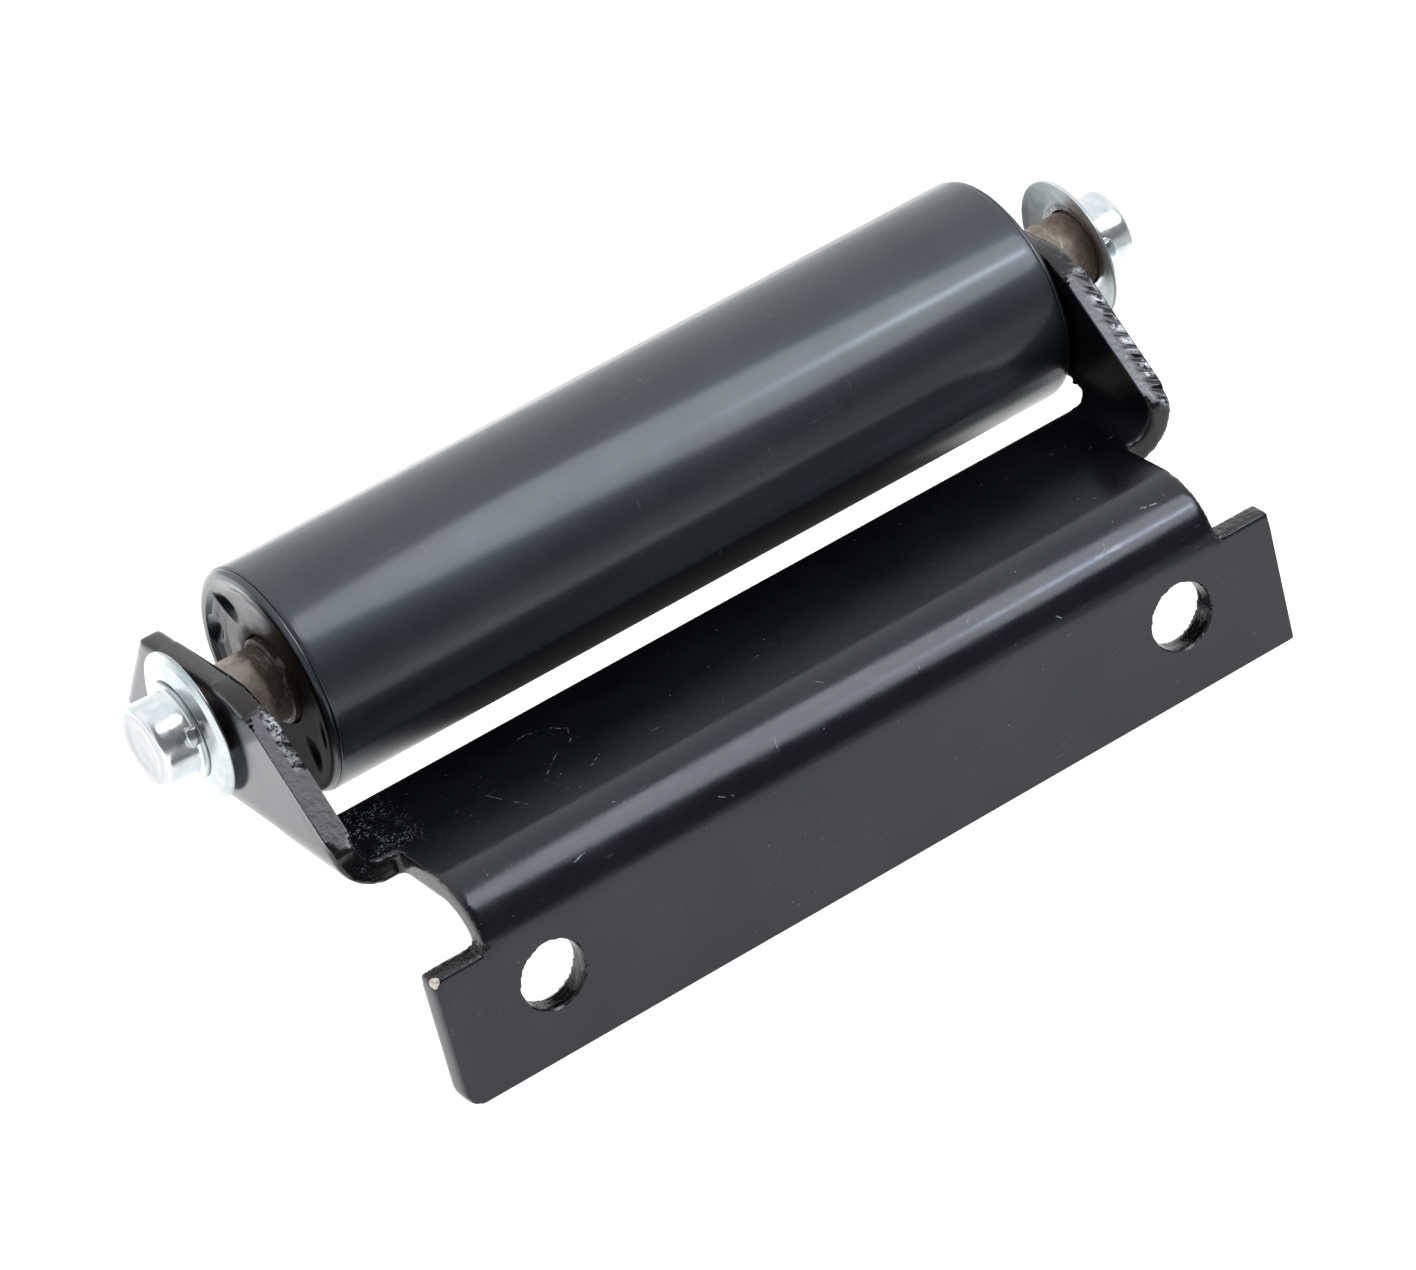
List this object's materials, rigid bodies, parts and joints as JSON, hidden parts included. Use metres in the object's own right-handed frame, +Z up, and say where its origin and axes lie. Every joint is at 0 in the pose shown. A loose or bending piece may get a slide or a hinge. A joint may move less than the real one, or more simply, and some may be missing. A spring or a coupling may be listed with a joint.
{
  "type": "bow roller",
  "caption": "Bent plate bracket with two upright ears carrying a free-turning tube roller on a plain axle held by push-on caps.",
  "frame": {"origin": "midway between the two bolt holes, on the front face of the flange", "axes": "+X along the roller, left end to right end seen from the flange side; +Y from the flange back to the roller; +Z up, the way the ears stand"},
  "size_m": [0.2907, 0.1326, 0.1038],
  "materials": {
    "bracket_paint": "glossy black paint over cut steel plate",
    "roller_paint": "semi-gloss black paint, lightly scratched",
    "bare_axle_steel": "raw rolled bar with light brown rust",
    "race_steel": "raw steel with light brown rust",
    "bearing_steel": "hardened bearing steel",
    "shield_plastic": "black moulded plastic",
    "zinc_plate": "bright zinc plate with a blue-green tint"
  },
  "bodies": {
    "bracket_body": {"bracket": "bracket_paint"},
    "axle_body": {"axle": "bare_axle_steel", "retaining_washer_left": "zinc_plate", "retaining_washer_right": "zinc_plate", "cap_cup_left": "zinc_plate", "cap_cup_right": "zinc_plate"},
    "inner_races": {"inner_race_left": "race_steel", "inner_race_right": "race_steel"},
    "balls": {"ball_set_left": "bearing_steel", "ball_set_right": "bearing_steel"},
    "roller": {"roller_tube": "roller_paint", "end_cup_left": "roller_paint", "end_cup_right": "roller_paint", "outer_race_left": "bearing_steel", "outer_race_right": "bearing_steel", "dust_shield_left": "shield_plastic", "dust_shield_right": "shield_plastic"}
  },
  "joints": [
    {"name": "axle_float", "type": "slide", "parent": "bracket_body", "child": "axle_body", "axis": [1, 0, 0], "range_m": [-0.0137, 0.0011]},
    {"name": "roller_float", "type": "slide", "parent": "bracket_body", "child": "inner_races", "axis": [1, 0, 0], "range_m": [-0.0128, 0.0001]},
    {"name": "roller_spin", "type": "hinge", "parent": "inner_races", "child": "roller", "pos_m": [0, 0.0915, 0.051], "axis": [1, 0, 0], "continuous": true},
    {"name": "ball_orbit", "type": "hinge", "parent": "inner_races", "child": "balls", "pos_m": [0, 0.0915, 0.051], "axis": [1, 0, 0], "continuous": true}
  ],
  "couplings": [
    {"joint": "ball_orbit", "follows": "roller_spin", "ratio": 0.586}
  ]
}
